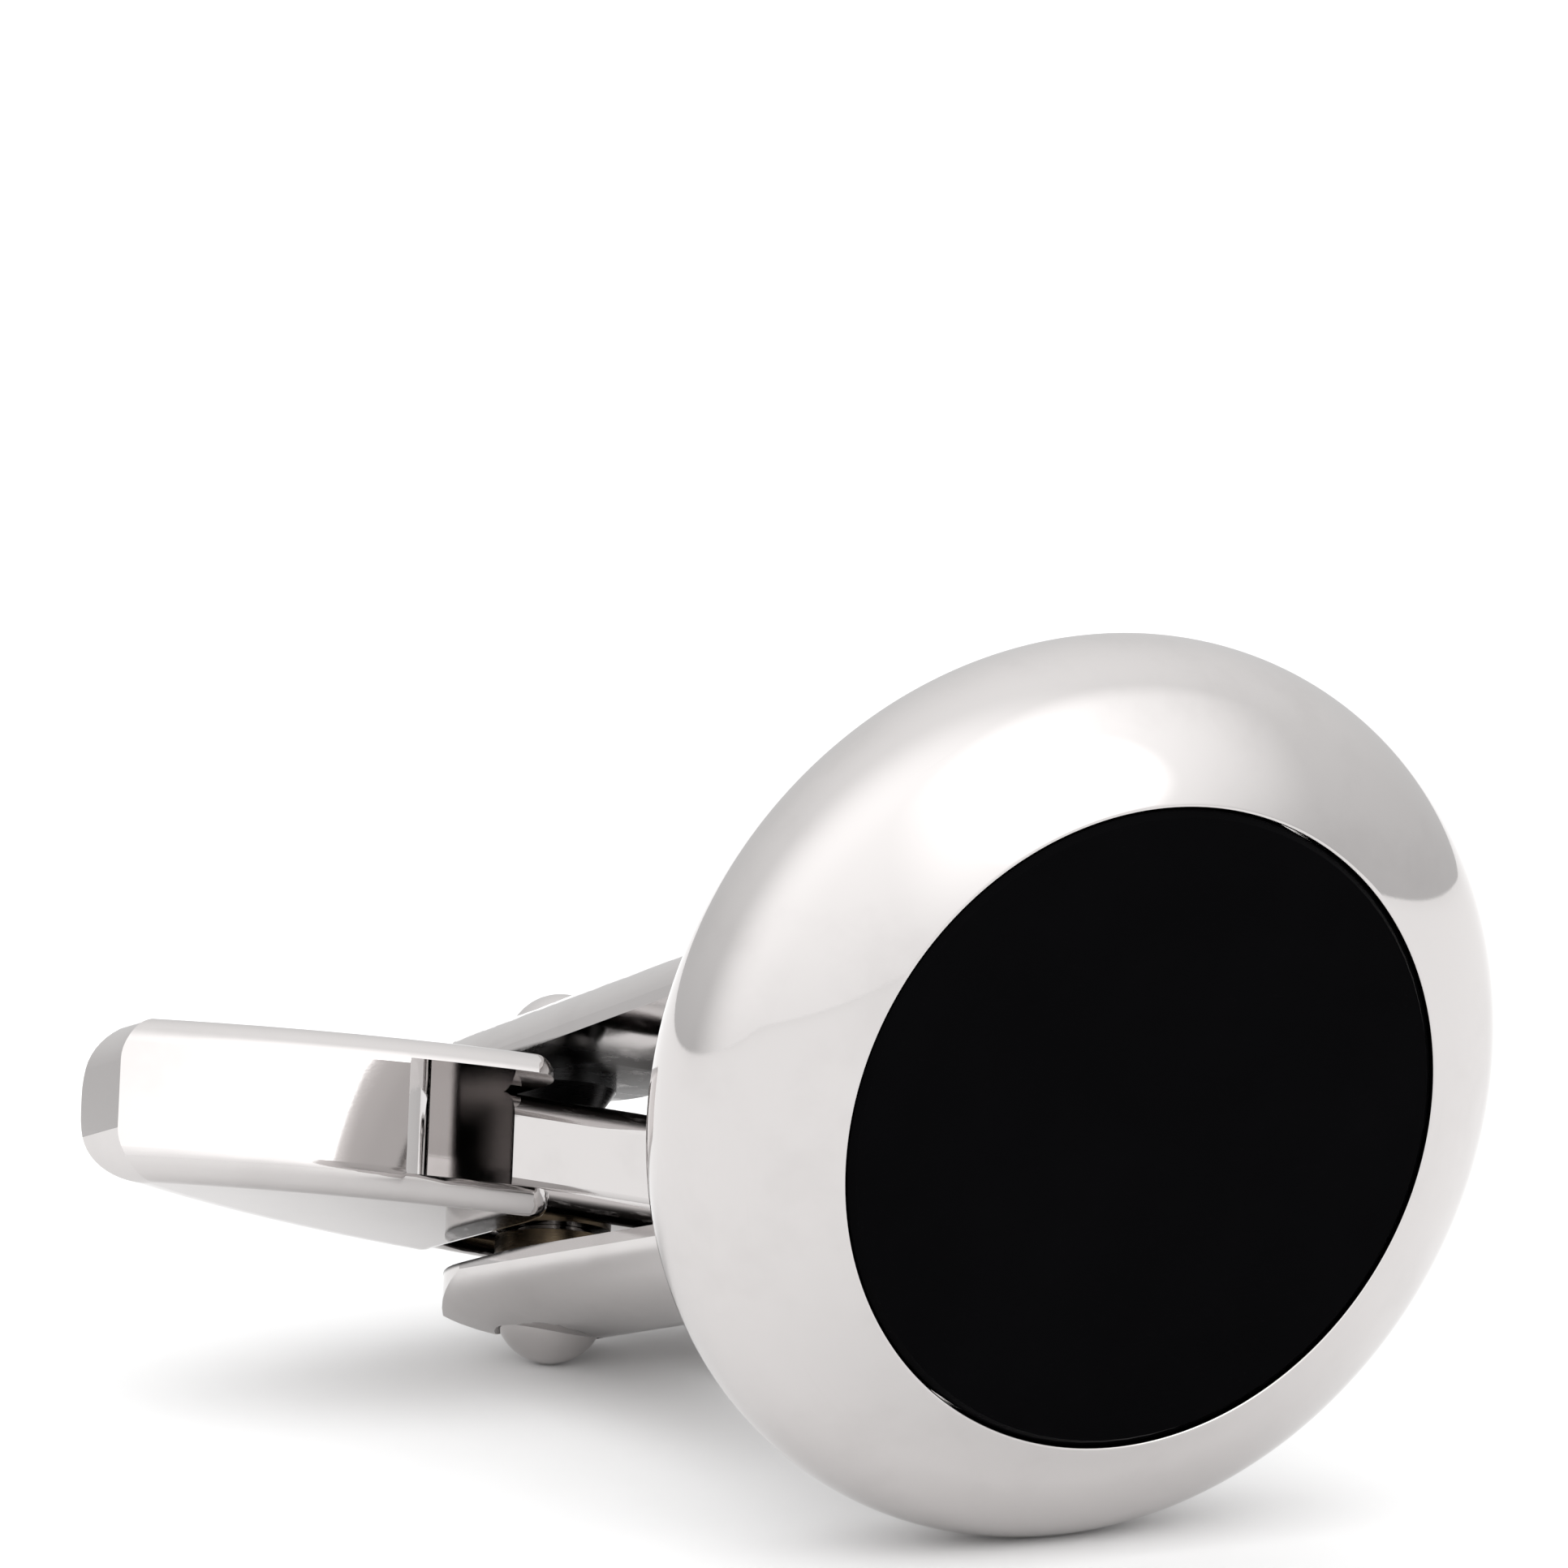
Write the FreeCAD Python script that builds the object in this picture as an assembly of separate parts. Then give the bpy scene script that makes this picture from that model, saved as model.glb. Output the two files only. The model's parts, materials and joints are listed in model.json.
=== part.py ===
"""Cufflink: domed head with a flat black stone, raked fork and boat-shaped swivel toggle.

Lengths are in millimetres, angles in degrees. Three frames are used:
head frame   origin at the middle of the head's widest circle, +Y to the back, fork raked towards -Z
hinge frame  origin at the middle of the rivet, X along the closed toggle, +Y away from the head, Z along it
lying frame  the head frame turned as the cufflink lies on a table, origin under the middle of its box
"""
import FreeCAD
import Part
import math
import os

# Head
head_diameter = 17.0
edge_radius = 2.0
crown_start = 50.0
face_rise = 2.6
lip_round = 0.08

# Stone and its bed
bezel_width = 2.5
stone_thickness = 1.5
stone_bevel = 0.12
stone_seam = 0.04
cement_thickness = 0.12
cement_margin = 0.3

# Hollow back of the head and its plate
seat_thickness = 0.9
back_ring_width = 2.9
back_plate_thickness = 0.8
back_plate_bevel = 0.15
plate_ledge = 0.6
plate_clearance = 0.02

# Fork
fork_rake = 26.2
fork_length = 16.0
arm_width = 4.1
arm_gap = 3.8
arm_thickness = 1.22
arm_crown = 1.1
arm_spread = 0.05
arm_end_round = 1.95
yoke_thickness = 2.3
yoke_corner = 2.4
slot_corner = 1.0
stem_diameter = 3.8
foot_diameter = 6.2
foot_thickness = 0.7
tenon_diameter = 2.4
tenon_head_diameter = 3.4
tenon_head_thickness = 0.5

# Rivet and washers
pin_diameter = 1.4
pin_clearance = 0.04
rivet_head_diameter = 1.95
rivet_head_height = 0.65
rivet_seat_depth = 0.2
rivet_seat_clearance = 0.06
washer_diameter = 2.2
washer_play = 0.08
friction_washer_sheet = 0.2

# Toggle
toggle_length = 20.9
toggle_width = 3.1
toggle_front = 4.0
toggle_front_bow = 2.6
toggle_keel = 2.4
toggle_end_depth = 1.4
toggle_end_corner = 0.9
toggle_wall = 0.45
rim_round = 0.55
keel_round = 1.4
pocket_length = 2.1
pocket_floor = 0.5
pocket_corner = 0.5
pocket_round = 1.1
bridge_length = 4.6
bridge_front = 2.2
bridge_round = 0.5
notch_length = 4.0
notch_clearance = 0.15
notch_corner = 0.6
nose_radius = 1.3
nose_round = 0.35
swing_clearance = 0.4

# Side on which the toggle comes down when the cufflink is laid on a table
lying_roll = 10.0

# Sizes that follow
V = FreeCAD.Vector
head_radius = head_diameter / 2
edge_centre = head_radius - edge_radius
back_face = edge_radius
stone_radius = head_radius - bezel_width
stone_bore = stone_radius + stone_seam
stone_floor = -face_rise + stone_thickness + cement_thickness
seat_back = stone_floor + seat_thickness
back_plate_radius = head_radius - back_ring_width
plate_front = back_face - back_plate_thickness
arm_half_width = arm_width / 2
arm_inner = arm_gap / 2
arm_outer = arm_inner + arm_thickness
toggle_half = toggle_length / 2
toggle_side = toggle_width / 2
bridge_half = bridge_length / 2
bridge_side = toggle_side - toggle_wall
washer_thickness = arm_inner - bridge_side - washer_play
notch_bottom = washer_diameter / 2 + notch_clearance
end_front = toggle_front_bow - toggle_front
swing_reach = math.hypot(toggle_half, toggle_front)
slot_root = swing_reach + swing_clearance
yoke_back = slot_root + yoke_thickness
pin_radius = pin_diameter / 2
rivet_seat = arm_outer - rivet_seat_depth
OVER = 0.3 * head_diameter


def line(start, end):
    return Part.LineSegment(start, end).toShape()


def arc(start, middle, end):
    return Part.Arc(start, middle, end).toShape()


def polygon(points):
    return Part.Face(Part.makePolygon(points + points[:1]))


def turned(edges):
    """Solid turned about the head's axis: x of the half profile is the radius, y runs to the back."""
    return Part.Face(Part.Wire(edges)).revolve(V(0, 0, 0), V(0, 1, 0), 360)


def turned_polygon(points):
    corners = points + points[:1]
    return turned([line(a, b) for a, b in zip(corners, corners[1:])])


def tangent_arc(start, direction, end):
    """Arc that leaves start along direction and ends at end."""
    normal = V(-direction.y, direction.x, 0)
    chord = end - start
    radius = chord.dot(chord) / (2 * normal.dot(chord))
    centre = start + normal * radius
    middle = (start + end) * 0.5 - centre
    middle.normalize()
    return arc(start, centre + middle * abs(radius), end)


def one_solid(shape):
    return shape.removeSplitter().Solids[0]


def make_bezel():
    start = math.radians(crown_start)
    lip = V(stone_bore, -face_rise)
    shoulder = V(edge_centre + edge_radius * math.cos(start), -edge_radius * math.sin(start))
    climb = V(-math.sin(start), -math.cos(start))
    plate_bore = back_plate_radius + plate_clearance
    hollow = back_plate_radius - plate_ledge
    inside = [
        V(edge_centre, back_face),
        V(plate_bore, back_face),
        V(plate_bore, plate_front),
        V(hollow, plate_front),
        V(hollow, seat_back),
        V(0, seat_back),
        V(0, stone_floor),
        V(stone_bore, stone_floor),
        lip,
    ]
    edges = [tangent_arc(shoulder, climb, lip), arc(shoulder, V(head_radius, 0), inside[0])]
    edges += [line(a, b) for a, b in zip(inside, inside[1:])]
    body = turned(Part.__sortEdges__(edges))
    lips = [e for e in body.Edges if e.BoundBox.YMax < -face_rise + lip_round / 2]
    return one_solid(body.makeFillet(lip_round, lips))


def make_onyx_disc():
    back = -face_rise + stone_thickness
    return turned_polygon([
        V(0, -face_rise),
        V(stone_radius - stone_bevel, -face_rise),
        V(stone_radius, -face_rise + stone_bevel),
        V(stone_radius, back),
        V(0, back),
    ])


def make_stone_cement():
    bed = V(0, stone_floor - cement_thickness, 0)
    return Part.makeCylinder(stone_radius - cement_margin, cement_thickness, bed, V(0, 1, 0))


def make_back_plate():
    bore = tenon_diameter / 2
    return turned_polygon([
        V(bore, plate_front),
        V(back_plate_radius, plate_front),
        V(back_plate_radius, back_face - back_plate_bevel),
        V(back_plate_radius - back_plate_bevel, back_face),
        V(bore, back_face),
    ])


def outer_at(y):
    """Half height of the fork over its crowns at the hinge-frame height y."""
    return arm_outer - arm_spread * y


def inner_at(y):
    """Half of the gap between the arms: parallel around the rivet, then spreading to the root."""
    return arm_inner + arm_spread * max(0.0, -y - arm_half_width)


def crown(x, y, z, top):
    """Half ellipse over the middle of an arm, from (x, y, z) across to the other side."""
    ellipse = Part.Ellipse(V(x, y, z), V(0, y, top), V(0, y, z))
    return Part.ArcOfEllipse(ellipse, 0, math.pi).toShape()


def fork_section(y):
    """Section across both arms: flat sides that run smoothly into the crowns."""
    side = outer_at(y) - arm_crown
    half = arm_half_width
    return Part.Wire([
        line(V(half, y, -side), V(half, y, side)),
        crown(half, y, side, side + arm_crown),
        line(V(-half, y, side), V(-half, y, -side)),
        crown(-half, y, -side, -side - arm_crown),
    ])


def plate_along_x(points, half):
    """Flat plate across the fork from an outline of (y, z) points."""
    outline = polygon([V(-half, y, z) for y, z in points])
    return outline.extrude(V(2 * half, 0, 0))


def edges_along_x(shape, y):
    return [e for e in shape.Edges if e.BoundBox.XLength > arm_width and abs(e.CenterOfMass.y - y) < 1e-6]


def make_fork_body():
    """The two arms, the yoke and the stem, in the hinge frame."""
    bars = Part.makeLoft([fork_section(-yoke_back - OVER), fork_section(OVER)], True, True)
    reach = outer_at(-yoke_back)
    yoke = plate_along_x([(OVER, reach), (-yoke_back, reach), (-yoke_back, -reach), (OVER, -reach)], OVER)
    yoke = yoke.makeFillet(yoke_corner, edges_along_x(yoke, -yoke_back))
    ends = Part.makeCylinder(arm_half_width, 4 * OVER, V(0, 0, -2 * OVER))
    sides = Part.makeBox(arm_width, yoke_back, 4 * OVER, V(-arm_half_width, -yoke_back, -2 * OVER))
    body = bars.common(yoke).common(ends.fuse(sides))
    round_start = arm_half_width - arm_end_round
    round_centre = outer_at(round_start) - arm_end_round
    corner = Part.makeBox(2 * OVER, OVER, OVER, V(-OVER, round_start, round_centre))
    rounding = Part.makeCylinder(arm_end_round, 2 * OVER, V(-OVER, round_start, round_centre), V(1, 0, 0))
    corner = corner.cut(rounding)
    body = body.cut(corner).cut(corner.mirror(V(0, 0, 0), V(0, 0, 1)))
    root = inner_at(-slot_root)
    slot = plate_along_x([
        (OVER, arm_inner),
        (-arm_half_width, arm_inner),
        (-slot_root, root),
        (-slot_root, -root),
        (-arm_half_width, -arm_inner),
        (OVER, -arm_inner),
    ], OVER)
    slot = slot.makeFillet(slot_corner, edges_along_x(slot, -slot_root))
    stem_start = V(0, -yoke_back + yoke_thickness / 2, 0)
    stem = Part.makeCylinder(stem_diameter / 2, fork_length, stem_start, V(0, -1, 0))
    body = body.cut(slot).fuse(stem)
    body = body.cut(Part.makeCylinder(pin_radius, 4 * OVER, V(0, 0, -2 * OVER)))
    seat_radius = rivet_head_diameter / 2 + rivet_seat_clearance
    for side in (1, -1):
        body = body.cut(Part.makeCylinder(seat_radius, OVER, V(0, 0, side * rivet_seat), V(0, 0, side)))
    return body


def make_fork():
    """The fork on its foot, cut square to the head's axis and tenoned through the back plate."""
    body = to_head(make_fork_body())
    wide = 4 * head_diameter
    body = body.cut(Part.makeBox(wide, wide, wide, V(-wide / 2, back_face - wide, -wide / 2)))
    to_back = V(0, 1, 0)
    foot = Part.makeCylinder(foot_diameter / 2, foot_thickness, V(0, back_face, 0), to_back)
    tenon = Part.makeCylinder(tenon_diameter / 2, back_plate_thickness, V(0, plate_front, 0), to_back)
    peened = V(0, plate_front - tenon_head_thickness, 0)
    tenon_head = Part.makeCylinder(tenon_head_diameter / 2, tenon_head_thickness, peened, to_back)
    return one_solid(body.fuse([foot, tenon, tenon_head]))


def make_hinge_rivet():
    """Pin with a domed head at each end, in the hinge frame."""
    pin = Part.makeCylinder(pin_radius, 2 * rivet_seat, V(0, 0, -rivet_seat))
    rim = rivet_head_diameter / 2
    dome_radius = (rim ** 2 + rivet_head_height ** 2) / (2 * rivet_head_height)
    heads = []
    for side in (1, -1):
        ball = Part.makeSphere(dome_radius, V(0, 0, side * (rivet_seat + rivet_head_height - dome_radius)))
        core = Part.makeCylinder(rim, rivet_head_height, V(0, 0, side * rivet_seat), V(0, 0, side))
        heads.append(ball.common(core))
    return one_solid(pin.fuse(heads))


def washer_blank(thickness, base):
    outer = Part.makeCylinder(washer_diameter / 2, thickness, base)
    return outer.cut(Part.makeCylinder(pin_radius + pin_clearance, thickness, base))


def make_spacer_washer():
    return washer_blank(washer_thickness, V(0, 0, -arm_inner))


def make_friction_washer():
    """Dished washer: its outer edge bears on the arm and its inner edge towards the toggle."""
    bore = pin_radius + pin_clearance
    rim = washer_diameter / 2
    low = arm_inner - washer_thickness
    dish = polygon([
        V(bore, 0, low),
        V(rim, 0, arm_inner - friction_washer_sheet),
        V(rim, 0, arm_inner),
        V(bore, 0, low + friction_washer_sheet),
    ])
    return dish.revolve(V(0, 0, 0), V(0, 0, 1), 360)


def rounded_outline(x, edge, far, side, corner):
    """Section across the toggle from y = edge to y = far whose two corners at edge are rounded."""
    inward = math.copysign(corner, far - edge)
    near = edge + inward * (1 - math.sqrt(0.5))
    flank = side - corner * (1 - math.sqrt(0.5))
    return Part.Face(Part.Wire([
        line(V(x, edge, corner - side), V(x, edge, side - corner)),
        arc(V(x, edge, side - corner), V(x, near, flank), V(x, edge + inward, side)),
        line(V(x, edge + inward, side), V(x, far, side)),
        line(V(x, far, side), V(x, far, -side)),
        line(V(x, far, -side), V(x, edge + inward, -side)),
        arc(V(x, edge + inward, -side), V(x, near, -flank), V(x, edge, corner - side)),
    ]))


def bowed(half_length, end, middle, side, corner):
    """Bar bent about the z direction: its rounded edge passes y = end at both ends and y = middle between."""
    rise = middle - end
    radius = (half_length ** 2 + rise ** 2) / (2 * rise)
    centre = V(0, middle - radius, 0)
    section = rounded_outline(0, middle, middle - math.copysign(2 * OVER, rise), side, corner)
    reach = 1.5 * math.degrees(math.asin(half_length / abs(radius)))
    section.rotate(centre, V(0, 0, 1), -reach)
    return section.revolve(centre, V(0, 0, 1), 2 * reach)


def toggle_hull():
    """Outside of the toggle: bowed front with rounded rims, round keel rising to both ends."""
    front = bowed(toggle_half, end_front, -toggle_front, toggle_side, rim_round)
    keel = bowed(toggle_half, end_front + toggle_end_depth, toggle_keel, toggle_side, keel_round)
    plan = Part.makeBox(toggle_length, 4 * OVER, toggle_width, V(-toggle_half, -2 * OVER, -toggle_side))
    upright = [e for e in plan.Edges if e.BoundBox.YLength > OVER]
    plan = plan.makeFillet(toggle_end_corner, upright)
    return front.common(keel).common(plan)


def pocket():
    """Hollow beside the bridge in the half at +x, between the cheeks: its far edge is rolled over."""
    far = bridge_half + pocket_length
    wide = far + pocket_round
    above = -toggle_front - OVER
    bow = (toggle_half ** 2 + toggle_front_bow ** 2) / (2 * toggle_front_bow)
    front = -toggle_front + bow - math.sqrt(bow ** 2 - wide ** 2) - pocket_round / 20
    turn = pocket_round * (1 - math.sqrt(0.5))
    bend = pocket_corner * (1 - math.sqrt(0.5))
    side = pocket_floor - pocket_corner
    outline = [
        line(V(bridge_half, above), V(wide, above)),
        line(V(wide, above), V(wide, front)),
        arc(V(wide, front), V(far + turn, front + turn), V(far, front + pocket_round)),
        line(V(far, front + pocket_round), V(far, side)),
        arc(V(far, side), V(far - bend, pocket_floor - bend), V(far - pocket_corner, pocket_floor)),
        line(V(far - pocket_corner, pocket_floor), V(bridge_half, pocket_floor)),
        line(V(bridge_half, pocket_floor), V(bridge_half, above)),
    ]
    hollow = Part.Face(Part.Wire(outline)).extrude(V(0, 0, 2 * bridge_side))
    hollow.translate(V(0, 0, -bridge_side))
    return hollow


def notch():
    """Cut through both walls at the rivet: round noses in front, closed towards the keel."""
    half = notch_length / 2
    wide = half + nose_radius
    above = -toggle_front - OVER
    front = -toggle_front
    nose = front + nose_radius
    turn = nose_radius * (1 - math.sqrt(0.5))
    bend = notch_corner * (1 - math.sqrt(0.5))
    side = notch_bottom - notch_corner
    edges = [
        line(V(-wide, above), V(wide, above)),
        line(V(-half + notch_corner, notch_bottom), V(half - notch_corner, notch_bottom)),
    ]
    for end in (1, -1):
        edges += [
            line(V(end * wide, above), V(end * wide, front)),
            arc(V(end * wide, front), V(end * (half + turn), front + turn), V(end * half, nose)),
            line(V(end * half, nose), V(end * half, side)),
            arc(V(end * half, side), V(end * (half - bend), notch_bottom - bend),
                V(end * (half - notch_corner), notch_bottom)),
        ]
    block = Part.Face(Part.Wire(Part.__sortEdges__(edges))).extrude(V(0, 0, 2 * toggle_width))
    block.translate(V(0, 0, -toggle_width))
    return block


def make_toggle():
    """Bowed bar with a narrow bridge at the rivet and a pocket on each side of it, in the hinge frame."""
    body = toggle_hull()
    hollow = pocket()
    body = body.cut(hollow).cut(hollow.mirror(V(0, 0, 0), V(1, 0, 0)))
    bridge = rounded_outline(-toggle_half, -bridge_front, 2 * OVER, bridge_side, bridge_round)
    bridge = bridge.extrude(V(toggle_length, 0, 0))
    body = body.cut(notch().cut(bridge))
    corner = V(-bridge_half - pocket_length / 2, -2 * OVER, -bridge_side)
    channel = Part.makeBox(-2 * corner.x, 2 * OVER - bridge_front + bridge_round, 2 * bridge_side, corner)
    body = one_solid(body.cut(channel.cut(bridge)))
    reach = notch_length / 2 + nose_radius + 1e-3
    rims = [e for e in body.Edges if max(abs(e.BoundBox.XMin), abs(e.BoundBox.XMax)) < reach
            and abs(e.CenterOfMass.z) > bridge_side + nose_round / 4]
    body = body.makeFillet(nose_round, rims)
    bore = Part.makeCylinder(pin_radius + pin_clearance, 4 * OVER, V(0, 0, -2 * OVER))
    return one_solid(body.cut(bore))


def to_head(shape):
    """Place a shape from the hinge frame in the head frame."""
    rake = math.radians(fork_rake)
    hinge = V(0, back_face + fork_length * math.cos(rake), -fork_length * math.sin(rake))
    stand = FreeCAD.Placement(hinge, FreeCAD.Rotation(V(1, 0, 0), -fork_rake))
    placed = shape.copy()
    placed.Placement = stand.multiply(placed.Placement)
    return placed


def turn_all(pieces, turn):
    for shape in pieces.values():
        shape.Placement = FreeCAD.Placement(V(0, 0, 0), turn).multiply(shape.Placement)


def lowest(shapes):
    points = [point for shape in shapes for point in shape.tessellate(0.01)[0]]
    return min(points, key=lambda point: point.z)


def lie_down(pieces):
    """Lay the cufflink on its rim, lower arm or rivet and one toggle end, origin under its middle."""
    turn_all(pieces, FreeCAD.Rotation(V(0, 1, 0), lying_roll))
    for step in range(12):
        rim = lowest([pieces["bezel"]])
        arm = lowest([pieces["fork"], pieces["hinge_rivet"]])
        end = lowest([pieces["toggle"]])
        up = (arm - rim).cross(end - rim)
        if up.z < 0:
            up = up * -1
        turn_all(pieces, FreeCAD.Rotation(up, V(0, 0, 1)))
    box = Part.makeCompound(list(pieces.values())).optimalBoundingBox(False)
    down = V(-(box.XMin + box.XMax) / 2, -(box.YMin + box.YMax) / 2, -box.ZMin)
    for shape in pieces.values():
        shape.translate(down)


def main():
    pieces = {
        "bezel": make_bezel(),
        "onyx_disc": make_onyx_disc(),
        "stone_cement": make_stone_cement(),
        "back_plate": make_back_plate(),
        "fork": make_fork(),
        "hinge_rivet": to_head(make_hinge_rivet()),
        "friction_washer": to_head(make_friction_washer()),
        "spacer_washer": to_head(make_spacer_washer()),
        "toggle": to_head(make_toggle()),
    }
    lie_down(pieces)
    os.makedirs("parts", exist_ok=True)
    for name, shape in pieces.items():
        shape.exportStep("parts/" + name + ".step")


main()
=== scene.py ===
"""Look of the cufflink: polished rim and fittings, black stone and washers, on a pale floor in soft light."""
import json
import math

import bmesh
import bpy
from mathutils import Matrix, Vector


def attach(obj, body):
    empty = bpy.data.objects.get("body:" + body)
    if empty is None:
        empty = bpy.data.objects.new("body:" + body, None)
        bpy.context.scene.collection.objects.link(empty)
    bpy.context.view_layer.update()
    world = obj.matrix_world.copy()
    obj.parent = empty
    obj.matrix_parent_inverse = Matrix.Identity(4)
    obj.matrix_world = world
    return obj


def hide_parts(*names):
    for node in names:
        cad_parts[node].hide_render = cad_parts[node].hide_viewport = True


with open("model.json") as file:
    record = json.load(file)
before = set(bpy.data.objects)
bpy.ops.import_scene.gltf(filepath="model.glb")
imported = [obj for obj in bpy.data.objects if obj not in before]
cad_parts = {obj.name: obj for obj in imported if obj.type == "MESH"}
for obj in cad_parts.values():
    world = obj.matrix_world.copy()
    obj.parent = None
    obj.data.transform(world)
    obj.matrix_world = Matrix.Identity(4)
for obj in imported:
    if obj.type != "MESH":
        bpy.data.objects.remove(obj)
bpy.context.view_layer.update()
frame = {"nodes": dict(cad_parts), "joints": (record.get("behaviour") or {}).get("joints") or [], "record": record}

MM = 0.001

# Places and directions of the head and the hinge
nodes = frame["nodes"]
stone_face = next(m for m in frame["record"]["mounts"] if m["name"] == "stone_face")
swivel = frame["joints"][0]
stone_centre = Vector(stone_face["pos_m"])
to_back = -Vector(stone_face["axis"]).normalized()
rivet_line = Vector(swivel["axis"]).normalized()
rivet_centre = Vector(swivel["pos_m"])
along_toggle = to_back.cross(rivet_line).normalized()
to_top = along_toggle.cross(to_back)
from_head = rivet_line.cross(along_toggle)

# Frames of the head and of the rivet, both with y along their axis, and of the hinge, with z along the rivet
head_axes = Matrix((along_toggle, to_back, to_top)).transposed()
hinge_axes = Matrix((along_toggle, from_head, rivet_line)).transposed()
rivet_axes = hinge_axes @ Matrix.Rotation(math.pi / 2, 3, "X")


def in_frame(node, centre, axes):
    """A piece's vertices in its own frame, in millimetres."""
    return [axes.transposed() @ (v.co - centre) / MM for v in nodes[node].data.vertices]


def turned_extent(node):
    """Widest radius of a piece round the head's axis, and its front and back along it."""
    places = in_frame(node, head_middle, head_axes)
    along = [p.y for p in places]
    return max(math.hypot(p.x, p.z) for p in places), min(along), max(along)


# Sizes of the head in millimetres, along its axis from the widest circle towards the back
face_rise = 2.6
head_middle = stone_centre + face_rise * MM * to_back
head_radius, head_front, head_back = turned_extent("bezel")
stone_radius, _, _ = turned_extent("onyx_disc")
_, _, cement_back = turned_extent("stone_cement")
plate_radius, plate_front, plate_back = turned_extent("back_plate")
on_plate = 0.02
fork_places = in_frame("fork", head_middle, head_axes)
foot_radius = max(math.hypot(p.x, p.z) for p in fork_places if abs(p.y - plate_back) < on_plate)

# Inner faces of the fork's arms and the root of the slot between them, from the rivet: the bounds of the painted
# shade in the slot
near_rivet = 1.0
mid_slot = 0.6
arm_places = in_frame("fork", rivet_centre, hinge_axes)
arm_inner = min(abs(p.z) for p in arm_places if math.hypot(p.x, p.y) < near_rivet)
slot_root = max(p.y for p in arm_places if abs(p.z) < mid_slot * arm_inner)


class Shade:
    """A value in a material's node tree. Sums, products and powers of values add Math nodes."""

    def __init__(self, tree, socket=None):
        self.tree = tree
        self.socket = socket

    def node(self, kind, settings, values, output=0):
        """Any node, from its type, its settings and the values or links of its sockets."""
        made = self.tree.nodes.new(kind)
        for name, setting in settings.items():
            setattr(made, name, setting)
        for name, value in values.items():
            if isinstance(value, Shade):
                self.tree.links.new(value.socket, made.inputs[name])
            else:
                made.inputs[name].default_value = value
        return Shade(self.tree, made.outputs[output])

    def maths(self, operation, a, b):
        return self.node("ShaderNodeMath", {"operation": operation}, {0: a, 1: b})

    def __add__(self, other):
        return self.maths("ADD", self, other)

    def __sub__(self, other):
        return self.maths("SUBTRACT", self, other)

    def __rsub__(self, other):
        return self.maths("SUBTRACT", other, self)

    def __mul__(self, other):
        return self.maths("MULTIPLY", self, other)

    def __pow__(self, other):
        return self.maths("POWER", self, other)

    __radd__ = __add__
    __rmul__ = __mul__

    def noise(self, scale, detail, rough):
        values = {"Vector": self, "Scale": scale, "Detail": detail, "Roughness": rough}
        return self.node("ShaderNodeTexNoise", {}, values)

    def between(self, low, high):
        """Smooth step from 0 at low to 1 at high."""
        values = {"Value": self, "From Min": low, "From Max": high}
        return self.node("ShaderNodeMapRange", {"interpolation_type": "SMOOTHSTEP"}, values)

    def mix(self, first, second):
        """Colour between two colours, by this value."""
        first, second = (c if isinstance(c, Shade) else (*c, 1.0) for c in (first, second))
        return self.node("ShaderNodeMix", {"data_type": "RGBA"}, {"Factor": self, 6: first, 7: second}, 2)

    def stretched(self, scale):
        return self.node("ShaderNodeMapping", {}, {"Vector": self, "Scale": scale})

    def parts(self):
        split = self.node("ShaderNodeSeparateXYZ", {}, {"Vector": self}).socket.node
        return [Shade(self.tree, socket) for socket in split.outputs]

    def joined(self, y, z):
        return self.node("ShaderNodeCombineXYZ", {}, {"X": self, "Y": y, "Z": z})


def new_finish(name):
    """A bare material, its shader and the Object coordinates."""
    finish = bpy.data.materials.new(name)
    finish.use_nodes = True
    tree = finish.node_tree
    shader = tree.nodes["Principled BSDF"]
    spot = Shade(tree).node("ShaderNodeTexCoord", {}, {}, 3)
    return finish, shader, spot


def seen_from(spot, centre, axes):
    """Object coordinates turned into a piece's own frame, in millimetres."""
    settings = {"vector_type": "TEXTURE"}
    values = {"Vector": spot, "Location": centre, "Rotation": axes.to_euler(), "Scale": (MM, MM, MM)}
    return spot.node("ShaderNodeMapping", settings, values)


def link(shader, name, value):
    value.tree.links.new(value.socket, shader.inputs[name])


def bump(height, strength, distance):
    values = {"Height": height, "Strength": strength, "Distance": distance}
    return height.node("ShaderNodeBump", {}, values)


# How closely hairlines lie across the polishing wheel's run, along it, and along its turn
ACROSS = 9.0
ALONG = 0.7
TURN = 0.6


def around(place):
    """Coordinates that run with a turn round the y axis of a piece's frame."""
    x, y, z = place.parts()
    radius = (x * x + z * z) ** 0.5
    turn = x.maths("ARCTAN2", x, z)
    return (turn * TURN).joined(y * ACROSS, radius * ACROSS)


def polish(shader, place, flow):
    """Mirror-polished plate: faint handling haze, and hairlines that run with the polishing wheel."""
    bright = (0.585, 0.564, 0.558)
    dull = (0.535, 0.514, 0.508)
    haze = place.noise(0.45, 4.0, 0.6).between(0.45, 0.75)
    hair = flow.noise(3.0, 6.0, 0.7)
    lines = hair.between(0.60, 0.74)
    colour = (haze * 0.6 + lines * 0.25).mix(bright, dull)
    rough = 0.035 + haze * 0.035 + lines * 0.05
    link(shader, "Base Color", colour)
    link(shader, "Roughness", rough)
    link(shader, "Normal", bump(hair, 0.02, 0.00001))
    shader.inputs["Metallic"].default_value = 1.0
    return colour, rough


def turned_finish(name, centre, axes):
    """Plate polished on a lathe, round the y axis of a frame."""
    finish, shader, spot = new_finish(name)
    place = seen_from(spot, centre, axes)
    polish(shader, place, around(place))
    return finish


def toggle_finish():
    finish, shader, spot = new_finish("rhodium_toggle")
    place = seen_from(spot, rivet_centre, hinge_axes)
    polish(shader, place, place.stretched((ALONG, ACROSS, ACROSS)))
    return finish


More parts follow.
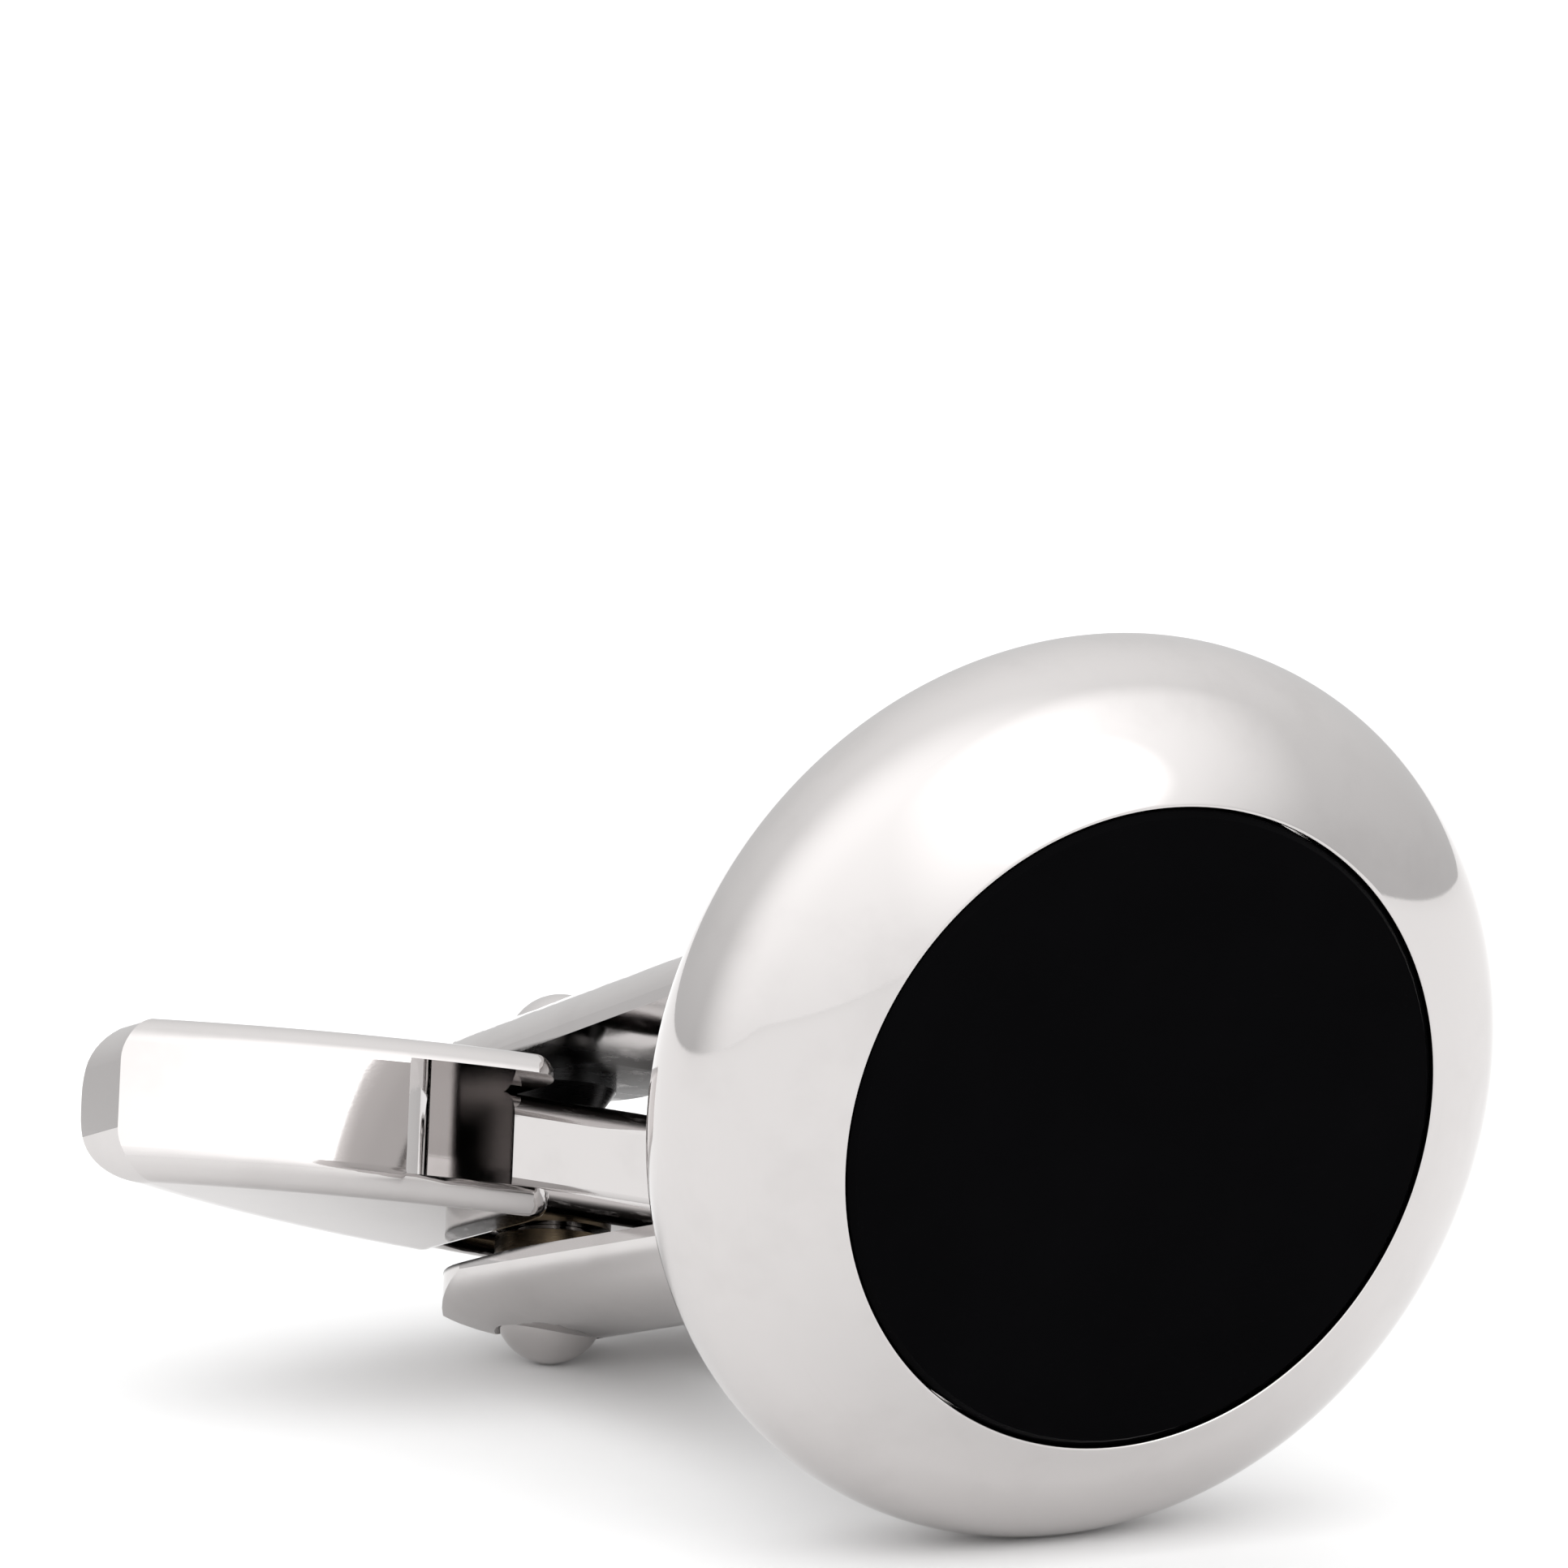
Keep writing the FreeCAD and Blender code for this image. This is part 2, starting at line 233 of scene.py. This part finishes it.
def fork_finish():
    """Polished outside; the arms' inner faces in the slot between them are painted near-black: painted shade for
    the dark slot.
    """
    finish, shader, spot = new_finish("rhodium_fork")
    place = seen_from(spot, rivet_centre, hinge_axes)
    colour, rough = polish(shader, place, place.stretched((ACROSS, ALONG, ACROSS)))
    # Painted shade: past the slot's root, the arms' inner faces are mixed to near-black in noisy patches and made
    # rougher
    _, y, z = place.parts()
    in_arm = z.maths("ABSOLUTE", z, 0.0).between(arm_inner + 0.02, arm_inner + 0.10)
    past_root = y.between(slot_root - 0.1, slot_root + 0.4)
    shade_patches = place.noise(1.6, 4.0, 0.6).between(0.1, 0.5)
    dark = (1 - in_arm) * past_root * shade_patches
    link(shader, "Base Color", dark.mix(colour, (0.020, 0.018, 0.017)))
    link(shader, "Roughness", rough + dark * 0.25)
    return finish


def stone_finish():
    """Lapped black stone with a faint cloud and specks of dust."""
    finish, shader, spot = new_finish("black_onyx")
    place = seen_from(spot, stone_centre, head_axes)
    cloud = place.noise(0.35, 5.0, 0.6)
    dust = place.noise(24.0, 2.0, 0.5).between(0.72, 0.80)
    pale = cloud * 0.7 + dust * 0.3
    link(shader, "Base Color", pale.mix((0.0006, 0.0006, 0.0007), (0.0022, 0.0021, 0.0026)))
    link(shader, "Roughness", 0.03 + cloud * 0.05 + dust * 0.10)
    shader.inputs["IOR"].default_value = 1.54
    shader.inputs["Specular IOR Level"].default_value = 0.012
    return finish


def cement_finish():
    finish, shader, spot = new_finish("dark_cement")
    place = seen_from(spot, stone_centre, head_axes)
    grain = place.noise(6.0, 5.0, 0.6)
    link(shader, "Base Color", grain.mix((0.035, 0.028, 0.022), (0.10, 0.08, 0.065)))
    link(shader, "Roughness", 0.45 + grain * 0.3)
    link(shader, "Normal", bump(grain, 0.3, 0.00002))
    return finish


def washer_finish(name, bright, dull):
    """Washer metal with turned rings and stains."""
    finish, shader, spot = new_finish(name)
    place = seen_from(spot, rivet_centre, rivet_axes)
    rings = around(place).noise(4.0, 4.0, 0.6)
    stain = place.noise(1.2, 4.0, 0.6)
    link(shader, "Base Color", (rings * 0.5 + stain * 0.5).mix(bright, dull))
    link(shader, "Roughness", 0.16 + rings * 0.16 + stain * 0.08)
    link(shader, "Normal", bump(rings, 0.15, 0.00001))
    shader.inputs["Metallic"].default_value = 1.0
    return finish


def dress(node, finish):
    for slot in nodes[node].material_slots:
        slot.material = finish


def at(radius, along):
    """A point of the head's turned outline."""
    return head_middle + (to_top * radius + to_back * along) * MM


def drawn_on(mesh, corner, *points):
    """Straight runs of an outline from a corner, and the last corner."""
    for radius, along in points:
        end = mesh.verts.new(at(radius, along))
        mesh.edges.new((corner, end))
        corner = end
    return corner


def swept_on(mesh, corner, radius, along, turn, steps):
    """A round of an outline about a centre, positive towards the back, and its last corner."""
    made = bmesh.ops.spin(mesh, geom=[corner], cent=at(radius, along), axis=to_top.cross(to_back),
                          angle=turn, steps=steps)
    return next(g for g in made["geom_last"] if isinstance(g, bmesh.types.BMVert))


def turned_piece(name, mesh, steps, finish):
    """An outline turned once round the head's axis into a closed piece of the head."""
    crease = math.radians(28)
    bmesh.ops.spin(mesh, geom=mesh.verts[:] + mesh.edges[:], cent=head_middle, axis=to_back,
                   angle=2 * math.pi, steps=steps, use_merge=True)
    bmesh.ops.remove_doubles(mesh, verts=mesh.verts, dist=1e-7)
    bmesh.ops.recalc_face_normals(mesh, faces=mesh.faces)
    for face in mesh.faces:
        face.smooth = True
    for edge in mesh.edges:
        edge.smooth = edge.calc_face_angle(0) < crease
    made = bpy.data.meshes.new(name)
    mesh.to_mesh(made)
    mesh.free()
    made.materials.append(finish)
    piece = bpy.data.objects.new(name, made)
    bpy.context.scene.collection.objects.link(piece)
    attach(piece, "head")
    return piece


def polished_rim(finish):
    """Cup of the stone: crowned face, round edge, rounded lip, and the seat for the back plate."""
    stone_seam = 0.04
    lip_round = 0.07
    plate_seam = 0.02
    plate_ledge = 0.6
    web = 0.9
    crown_start = math.radians(50)
    edge_radius = head_back
    edge_centre = head_radius - edge_radius
    bore = stone_radius + stone_seam
    inward = Vector((-math.cos(crown_start), math.sin(crown_start)))
    shoulder = Vector((edge_centre, 0)) - inward * edge_radius
    climb = Vector((bore, head_front)) - shoulder
    crown_radius = climb.length_squared / (2 * climb.dot(inward))
    crown_middle = shoulder + inward * crown_radius
    crown_turn = 2 * math.asin(climb.length / (2 * crown_radius))
    web_back = cement_back + web
    hollow = plate_radius - plate_ledge
    recess = plate_radius + plate_seam

    mesh = bmesh.new()
    start = mesh.verts.new(at(*shoulder))
    lip = swept_on(mesh, start, *crown_middle, -crown_turn, 20)
    drawn_on(mesh, lip, (bore, cement_back), (0, cement_back))
    back = swept_on(mesh, start, edge_centre, 0, math.pi / 2 + crown_start, 48)
    drawn_on(mesh, back, (recess, head_back), (recess, plate_front),
             (hollow, plate_front), (hollow, web_back), (0, web_back))
    bmesh.ops.bevel(mesh, geom=[lip], offset=lip_round * MM, segments=6, profile=0.5, material=-1,
                    affect="VERTICES")
    piece = turned_piece("polished_rim", mesh, 240, finish)
    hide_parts("bezel")


def foot_bead(finish):
    """Bead of solder in the corner between the fork's foot and the back plate."""
    size = 0.24
    into_foot = 0.1
    into_plate = 0.05
    mesh = bmesh.new()
    start = mesh.verts.new(at(foot_radius, plate_back + size))
    end = swept_on(mesh, start, foot_radius + size, plate_back + size, -math.pi / 2, 10)
    root = drawn_on(mesh, end, (foot_radius - into_foot, plate_back - into_plate))
    mesh.edges.new((root, start))
    turned_piece("foot_bead", mesh, 96, finish)


polished_rim(turned_finish("rhodium_rim", stone_centre, head_axes))
foot_bead(turned_finish("solder_bead", stone_centre, head_axes))
dress("back_plate", turned_finish("rhodium_back", stone_centre, head_axes))
dress("fork", fork_finish())
dress("toggle", toggle_finish())
dress("hinge_rivet", turned_finish("rhodium_rivet", rivet_centre, rivet_axes))
dress("onyx_disc", stone_finish())
dress("stone_cement", cement_finish())
dress("friction_washer", washer_finish("blackened_spring_steel", (0.07, 0.07, 0.072), (0.03, 0.03, 0.03)))
# The brass spacer is coloured near-black: painted shade for the dark gap under the fork's arm
dress("spacer_washer", washer_finish("brass_darkened_as_painted_shade", (0.13, 0.10, 0.065), (0.06, 0.045, 0.03)))


# Camera, where the photograph was taken: the stone's normal and the toggle as the lens sees them,
# and the pixel where the middle of the head shows
scene = bpy.context.scene
frame_px = 1932.0
px_per_mm = 68.03
sensor = 36.0
distance = 0.300
middle_px = Vector((1323.4, 1339.5))
seen_back = -Vector((0.470, -0.286, 0.835)).normalized()
seen_toggle = -Vector((-0.845, 0.149, 0.514))
seen_toggle = (seen_toggle - seen_toggle.dot(seen_back) * seen_back).normalized()
seen_axes = Matrix((seen_toggle, seen_back, seen_toggle.cross(seen_back))).transposed()
lens_axes = head_axes @ seen_axes.transposed()
shown_at = Vector((middle_px.x - frame_px / 2, frame_px / 2 - middle_px.y, 0)) / px_per_mm * MM
lens = bpy.data.cameras.new("lens")
lens.sensor_width = sensor
lens.lens = sensor * px_per_mm * distance / MM / frame_px
lens.clip_start = 0.02
lens.clip_end = 20.0
camera = bpy.data.objects.new("camera", lens)
scene.collection.objects.link(camera)
camera_spot = head_middle - lens_axes @ (shown_at - Vector((0, 0, distance)))
camera.matrix_world = Matrix.Translation(camera_spot) @ lens_axes.to_4x4()
scene.camera = camera
viewer = Vector((lens_axes.col[2].x, lens_axes.col[2].y, 0)).normalized()


# Pale floor
side = 40.0
corners = [(-side, -side, 0), (side, -side, 0), (side, side, 0), (-side, side, 0)]
floor_mesh = bpy.data.meshes.new("floor")
floor_mesh.from_pydata(corners, [], [(0, 1, 2, 3)])
floor = bpy.data.objects.new("floor", floor_mesh)
scene.collection.objects.link(floor)
paper, shader, spot = new_finish("pale_paper")
grain = spot.noise(400.0, 3.0, 0.5)
link(shader, "Base Color", grain.mix((0.90, 0.90, 0.90), (0.92, 0.92, 0.92)))
shader.inputs["Roughness"].default_value = 0.9
shader.inputs["Specular IOR Level"].default_value = 0.0
floor_mesh.materials.append(paper)


# Light tent: pale all round, brighter towards the zenith and in soft patches on the viewer's side
world = bpy.data.worlds.new("tent")
scene.world = world
world.use_nodes = True
tree = world.node_tree
sky = Shade(tree).node("ShaderNodeTexCoord", {}, {}, 0)
east, north, up = sky.parts()


def toward(turn, height):
    """Direction at an angle to the right of the viewer's side and a height, in degrees."""
    level = Matrix.Rotation(math.radians(turn), 3, "Z") @ viewer
    climb = math.radians(height)
    return level * math.cos(climb) + Vector((0, 0, 1)) * math.sin(climb)


def glow(turn, height, start, full):
    """A soft bright patch of the tent, from 0 at a cosine off its middle to 1 at another."""
    middle = toward(turn, height)
    return (east * middle.x + north * middle.y + up * middle.z).between(start, full)


tent = 0.74 + up * 0.54
tent = tent + glow(-10, 15, 0.17, 0.90) * 0.59
tent = tent + glow(50, 33, 0.77, 0.98) * 0.45
tent = tent + glow(45, 26, 0.955, 0.992) * 1.1
background = tree.nodes["Background"]
background.inputs["Color"].default_value = (1.0, 1.0, 1.0, 1.0)
link(background, "Strength", tent)

# Wide box overhead, for the floor
overhead = bpy.data.lights.new("overhead_box", "AREA")
overhead.shape = "RECTANGLE"
overhead.size = 0.6
overhead.size_y = 0.6
overhead.energy = 0.6
overhead_box = bpy.data.objects.new("overhead_box", overhead)
overhead_box.location = head_middle + Vector((0, 0, 0.8))
overhead_box.visible_camera = False
overhead_box.visible_glossy = False
scene.collection.objects.link(overhead_box)

scene.view_settings.view_transform = "Standard"
